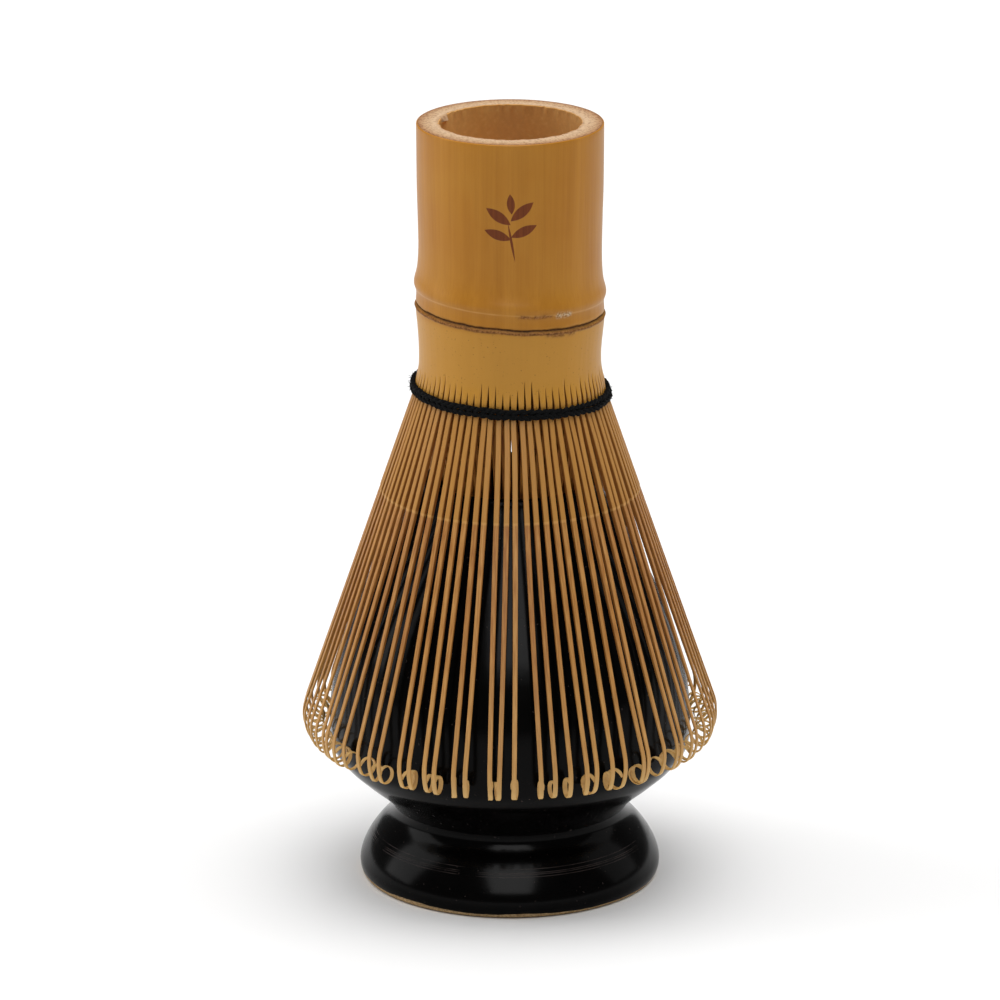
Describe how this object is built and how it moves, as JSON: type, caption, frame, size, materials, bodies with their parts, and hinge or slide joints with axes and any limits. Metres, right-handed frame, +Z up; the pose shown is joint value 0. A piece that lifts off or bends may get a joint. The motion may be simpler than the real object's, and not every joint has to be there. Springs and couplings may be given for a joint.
{
  "type": "bamboo tea whisk on holder",
  "caption": "Bamboo tea whisk with curled outer tines and fine inner tines, bound with black thread and resting on a waisted glazed ceramic holder.",
  "frame": {"origin": "on the table, at the middle of the holder's foot", "axes": "+Z up along the whisk's axis, from the holder's foot to the handle's open end; -Y is the front, where a seam between two splits of the culm lies"},
  "size_m": [0.0686, 0.0686, 0.1288],
  "materials": {
    "black_glaze": "gloss black glaze, bare clay under the foot",
    "bamboo_culm": "satin natural bamboo skin",
    "black_thread": "matt twisted cotton",
    "bamboo_outer_tines": "shaved bamboo, satin",
    "bamboo_inner_tines": "split bamboo, matt"
  },
  "bodies": {
    "holder": {"holder": "black_glaze"},
    "handle": {"handle": "bamboo_culm", "binding_thread": "black_thread"},
    "outer_tines_01": {"outer_tines_01": "bamboo_outer_tines"},
    "outer_tines_02": {"outer_tines_02": "bamboo_outer_tines"},
    "outer_tines_03": {"outer_tines_03": "bamboo_outer_tines"},
    "outer_tines_04": {"outer_tines_04": "bamboo_outer_tines"},
    "outer_tines_05": {"outer_tines_05": "bamboo_outer_tines"},
    "outer_tines_06": {"outer_tines_06": "bamboo_outer_tines"},
    "outer_tines_07": {"outer_tines_07": "bamboo_outer_tines"},
    "outer_tines_08": {"outer_tines_08": "bamboo_outer_tines"},
    "outer_tines_09": {"outer_tines_09": "bamboo_outer_tines"},
    "outer_tines_10": {"outer_tines_10": "bamboo_outer_tines"},
    "outer_tines_11": {"outer_tines_11": "bamboo_outer_tines"},
    "outer_tines_12": {"outer_tines_12": "bamboo_outer_tines"},
    "outer_tines_13": {"outer_tines_13": "bamboo_outer_tines"},
    "outer_tines_14": {"outer_tines_14": "bamboo_outer_tines"},
    "outer_tines_15": {"outer_tines_15": "bamboo_outer_tines"},
    "outer_tines_16": {"outer_tines_16": "bamboo_outer_tines"},
    "inner_tines_01": {"inner_tines_01": "bamboo_inner_tines"},
    "inner_tines_02": {"inner_tines_02": "bamboo_inner_tines"},
    "inner_tines_03": {"inner_tines_03": "bamboo_inner_tines"},
    "inner_tines_04": {"inner_tines_04": "bamboo_inner_tines"},
    "inner_tines_05": {"inner_tines_05": "bamboo_inner_tines"},
    "inner_tines_06": {"inner_tines_06": "bamboo_inner_tines"},
    "inner_tines_07": {"inner_tines_07": "bamboo_inner_tines"},
    "inner_tines_08": {"inner_tines_08": "bamboo_inner_tines"},
    "inner_tines_09": {"inner_tines_09": "bamboo_inner_tines"},
    "inner_tines_10": {"inner_tines_10": "bamboo_inner_tines"},
    "inner_tines_11": {"inner_tines_11": "bamboo_inner_tines"},
    "inner_tines_12": {"inner_tines_12": "bamboo_inner_tines"},
    "inner_tines_13": {"inner_tines_13": "bamboo_inner_tines"},
    "inner_tines_14": {"inner_tines_14": "bamboo_inner_tines"},
    "inner_tines_15": {"inner_tines_15": "bamboo_inner_tines"},
    "inner_tines_16": {"inner_tines_16": "bamboo_inner_tines"}
  },
  "joints": [
    {"name": "whisk_lift", "type": "slide", "parent": "holder", "child": "handle", "axis": [0, 0, 1], "range_m": [0, 0.05]},
    {"name": "outer_flex_01", "type": "hinge", "parent": "handle", "child": "outer_tines_01", "pos_m": [0.01525, 0.00303, 0.083], "axis": [0.1951, -0.9808, 0], "range_deg": [0, 8], "stiffness_Nm_per_rad": 0.01},
    {"name": "outer_flex_02", "type": "hinge", "parent": "handle", "child": "outer_tines_02", "pos_m": [0.01293, 0.00864, 0.083], "axis": [0.5556, -0.8315, 0], "range_deg": [0, 8], "stiffness_Nm_per_rad": 0.01},
    {"name": "outer_flex_03", "type": "hinge", "parent": "handle", "child": "outer_tines_03", "pos_m": [0.00864, 0.01293, 0.083], "axis": [0.8315, -0.5556, 0], "range_deg": [0, 8], "stiffness_Nm_per_rad": 0.01},
    {"name": "outer_flex_04", "type": "hinge", "parent": "handle", "child": "outer_tines_04", "pos_m": [0.00303, 0.01525, 0.083], "axis": [0.9808, -0.1951, 0], "range_deg": [0, 8], "stiffness_Nm_per_rad": 0.01},
    {"name": "outer_flex_05", "type": "hinge", "parent": "handle", "child": "outer_tines_05", "pos_m": [-0.00303, 0.01525, 0.083], "axis": [0.9808, 0.1951, 0], "range_deg": [0, 8], "stiffness_Nm_per_rad": 0.01},
    {"name": "outer_flex_06", "type": "hinge", "parent": "handle", "child": "outer_tines_06", "pos_m": [-0.00864, 0.01293, 0.083], "axis": [0.8315, 0.5556, 0], "range_deg": [0, 8], "stiffness_Nm_per_rad": 0.01},
    {"name": "outer_flex_07", "type": "hinge", "parent": "handle", "child": "outer_tines_07", "pos_m": [-0.01293, 0.00864, 0.083], "axis": [0.5556, 0.8315, 0], "range_deg": [0, 8], "stiffness_Nm_per_rad": 0.01},
    {"name": "outer_flex_08", "type": "hinge", "parent": "handle", "child": "outer_tines_08", "pos_m": [-0.01525, 0.00303, 0.083], "axis": [0.1951, 0.9808, 0], "range_deg": [0, 8], "stiffness_Nm_per_rad": 0.01},
    {"name": "outer_flex_09", "type": "hinge", "parent": "handle", "child": "outer_tines_09", "pos_m": [-0.01525, -0.00303, 0.083], "axis": [-0.1951, 0.9808, 0], "range_deg": [0, 8], "stiffness_Nm_per_rad": 0.01},
    {"name": "outer_flex_10", "type": "hinge", "parent": "handle", "child": "outer_tines_10", "pos_m": [-0.01293, -0.00864, 0.083], "axis": [-0.5556, 0.8315, 0], "range_deg": [0, 8], "stiffness_Nm_per_rad": 0.01},
    {"name": "outer_flex_11", "type": "hinge", "parent": "handle", "child": "outer_tines_11", "pos_m": [-0.00864, -0.01293, 0.083], "axis": [-0.8315, 0.5556, 0], "range_deg": [0, 8], "stiffness_Nm_per_rad": 0.01},
    {"name": "outer_flex_12", "type": "hinge", "parent": "handle", "child": "outer_tines_12", "pos_m": [-0.00303, -0.01525, 0.083], "axis": [-0.9808, 0.1951, 0], "range_deg": [0, 8], "stiffness_Nm_per_rad": 0.01},
    {"name": "outer_flex_13", "type": "hinge", "parent": "handle", "child": "outer_tines_13", "pos_m": [0.00303, -0.01525, 0.083], "axis": [-0.9808, -0.1951, 0], "range_deg": [0, 8], "stiffness_Nm_per_rad": 0.01},
    {"name": "outer_flex_14", "type": "hinge", "parent": "handle", "child": "outer_tines_14", "pos_m": [0.00864, -0.01293, 0.083], "axis": [-0.8315, -0.5556, 0], "range_deg": [0, 8], "stiffness_Nm_per_rad": 0.01},
    {"name": "outer_flex_15", "type": "hinge", "parent": "handle", "child": "outer_tines_15", "pos_m": [0.01293, -0.00864, 0.083], "axis": [-0.5556, -0.8315, 0], "range_deg": [0, 8], "stiffness_Nm_per_rad": 0.01},
    {"name": "outer_flex_16", "type": "hinge", "parent": "handle", "child": "outer_tines_16", "pos_m": [0.01525, -0.00303, 0.083], "axis": [-0.1951, -0.9808, 0], "range_deg": [0, 8], "stiffness_Nm_per_rad": 0.01},
    {"name": "inner_flex_01", "type": "hinge", "parent": "handle", "child": "inner_tines_01", "pos_m": [0.01265, 0.00252, 0.083], "axis": [0.1951, -0.9808, 0], "range_deg": [0, 3], "stiffness_Nm_per_rad": 0.002},
    {"name": "inner_flex_02", "type": "hinge", "parent": "handle", "child": "inner_tines_02", "pos_m": [0.01073, 0.00717, 0.083], "axis": [0.5556, -0.8315, 0], "range_deg": [0, 3], "stiffness_Nm_per_rad": 0.002},
    {"name": "inner_flex_03", "type": "hinge", "parent": "handle", "child": "inner_tines_03", "pos_m": [0.00717, 0.01073, 0.083], "axis": [0.8315, -0.5556, 0], "range_deg": [0, 3], "stiffness_Nm_per_rad": 0.002},
    {"name": "inner_flex_04", "type": "hinge", "parent": "handle", "child": "inner_tines_04", "pos_m": [0.00252, 0.01265, 0.083], "axis": [0.9808, -0.1951, 0], "range_deg": [0, 3], "stiffness_Nm_per_rad": 0.002},
    {"name": "inner_flex_05", "type": "hinge", "parent": "handle", "child": "inner_tines_05", "pos_m": [-0.00252, 0.01265, 0.083], "axis": [0.9808, 0.1951, 0], "range_deg": [0, 3], "stiffness_Nm_per_rad": 0.002},
    {"name": "inner_flex_06", "type": "hinge", "parent": "handle", "child": "inner_tines_06", "pos_m": [-0.00717, 0.01073, 0.083], "axis": [0.8315, 0.5556, 0], "range_deg": [0, 3], "stiffness_Nm_per_rad": 0.002},
    {"name": "inner_flex_07", "type": "hinge", "parent": "handle", "child": "inner_tines_07", "pos_m": [-0.01073, 0.00717, 0.083], "axis": [0.5556, 0.8315, 0], "range_deg": [0, 3], "stiffness_Nm_per_rad": 0.002},
    {"name": "inner_flex_08", "type": "hinge", "parent": "handle", "child": "inner_tines_08", "pos_m": [-0.01265, 0.00252, 0.083], "axis": [0.1951, 0.9808, 0], "range_deg": [0, 3], "stiffness_Nm_per_rad": 0.002},
    {"name": "inner_flex_09", "type": "hinge", "parent": "handle", "child": "inner_tines_09", "pos_m": [-0.01265, -0.00252, 0.083], "axis": [-0.1951, 0.9808, 0], "range_deg": [0, 3], "stiffness_Nm_per_rad": 0.002},
    {"name": "inner_flex_10", "type": "hinge", "parent": "handle", "child": "inner_tines_10", "pos_m": [-0.01073, -0.00717, 0.083], "axis": [-0.5556, 0.8315, 0], "range_deg": [0, 3], "stiffness_Nm_per_rad": 0.002},
    {"name": "inner_flex_11", "type": "hinge", "parent": "handle", "child": "inner_tines_11", "pos_m": [-0.00717, -0.01073, 0.083], "axis": [-0.8315, 0.5556, 0], "range_deg": [0, 3], "stiffness_Nm_per_rad": 0.002},
    {"name": "inner_flex_12", "type": "hinge", "parent": "handle", "child": "inner_tines_12", "pos_m": [-0.00252, -0.01265, 0.083], "axis": [-0.9808, 0.1951, 0], "range_deg": [0, 3], "stiffness_Nm_per_rad": 0.002},
    {"name": "inner_flex_13", "type": "hinge", "parent": "handle", "child": "inner_tines_13", "pos_m": [0.00252, -0.01265, 0.083], "axis": [-0.9808, -0.1951, 0], "range_deg": [0, 3], "stiffness_Nm_per_rad": 0.002},
    {"name": "inner_flex_14", "type": "hinge", "parent": "handle", "child": "inner_tines_14", "pos_m": [0.00717, -0.01073, 0.083], "axis": [-0.8315, -0.5556, 0], "range_deg": [0, 3], "stiffness_Nm_per_rad": 0.002},
    {"name": "inner_flex_15", "type": "hinge", "parent": "handle", "child": "inner_tines_15", "pos_m": [0.01073, -0.00717, 0.083], "axis": [-0.5556, -0.8315, 0], "range_deg": [0, 3], "stiffness_Nm_per_rad": 0.002},
    {"name": "inner_flex_16", "type": "hinge", "parent": "handle", "child": "inner_tines_16", "pos_m": [0.01265, -0.00252, 0.083], "axis": [-0.1951, -0.9808, 0], "range_deg": [0, 3], "stiffness_Nm_per_rad": 0.002}
  ],
  "couplings": [
    {"joint": "outer_flex_02", "follows": "outer_flex_01", "ratio": 1},
    {"joint": "outer_flex_03", "follows": "outer_flex_01", "ratio": 1},
    {"joint": "outer_flex_04", "follows": "outer_flex_01", "ratio": 1},
    {"joint": "outer_flex_05", "follows": "outer_flex_01", "ratio": 1},
    {"joint": "outer_flex_06", "follows": "outer_flex_01", "ratio": 1},
    {"joint": "outer_flex_07", "follows": "outer_flex_01", "ratio": 1},
    {"joint": "outer_flex_08", "follows": "outer_flex_01", "ratio": 1},
    {"joint": "outer_flex_09", "follows": "outer_flex_01", "ratio": 1},
    {"joint": "outer_flex_10", "follows": "outer_flex_01", "ratio": 1},
    {"joint": "outer_flex_11", "follows": "outer_flex_01", "ratio": 1},
    {"joint": "outer_flex_12", "follows": "outer_flex_01", "ratio": 1},
    {"joint": "outer_flex_13", "follows": "outer_flex_01", "ratio": 1},
    {"joint": "outer_flex_14", "follows": "outer_flex_01", "ratio": 1},
    {"joint": "outer_flex_15", "follows": "outer_flex_01", "ratio": 1},
    {"joint": "outer_flex_16", "follows": "outer_flex_01", "ratio": 1},
    {"joint": "inner_flex_02", "follows": "inner_flex_01", "ratio": 1},
    {"joint": "inner_flex_03", "follows": "inner_flex_01", "ratio": 1},
    {"joint": "inner_flex_04", "follows": "inner_flex_01", "ratio": 1},
    {"joint": "inner_flex_05", "follows": "inner_flex_01", "ratio": 1},
    {"joint": "inner_flex_06", "follows": "inner_flex_01", "ratio": 1},
    {"joint": "inner_flex_07", "follows": "inner_flex_01", "ratio": 1},
    {"joint": "inner_flex_08", "follows": "inner_flex_01", "ratio": 1},
    {"joint": "inner_flex_09", "follows": "inner_flex_01", "ratio": 1},
    {"joint": "inner_flex_10", "follows": "inner_flex_01", "ratio": 1},
    {"joint": "inner_flex_11", "follows": "inner_flex_01", "ratio": 1},
    {"joint": "inner_flex_12", "follows": "inner_flex_01", "ratio": 1},
    {"joint": "inner_flex_13", "follows": "inner_flex_01", "ratio": 1},
    {"joint": "inner_flex_14", "follows": "inner_flex_01", "ratio": 1},
    {"joint": "inner_flex_15", "follows": "inner_flex_01", "ratio": 1},
    {"joint": "inner_flex_16", "follows": "inner_flex_01", "ratio": 1}
  ]
}
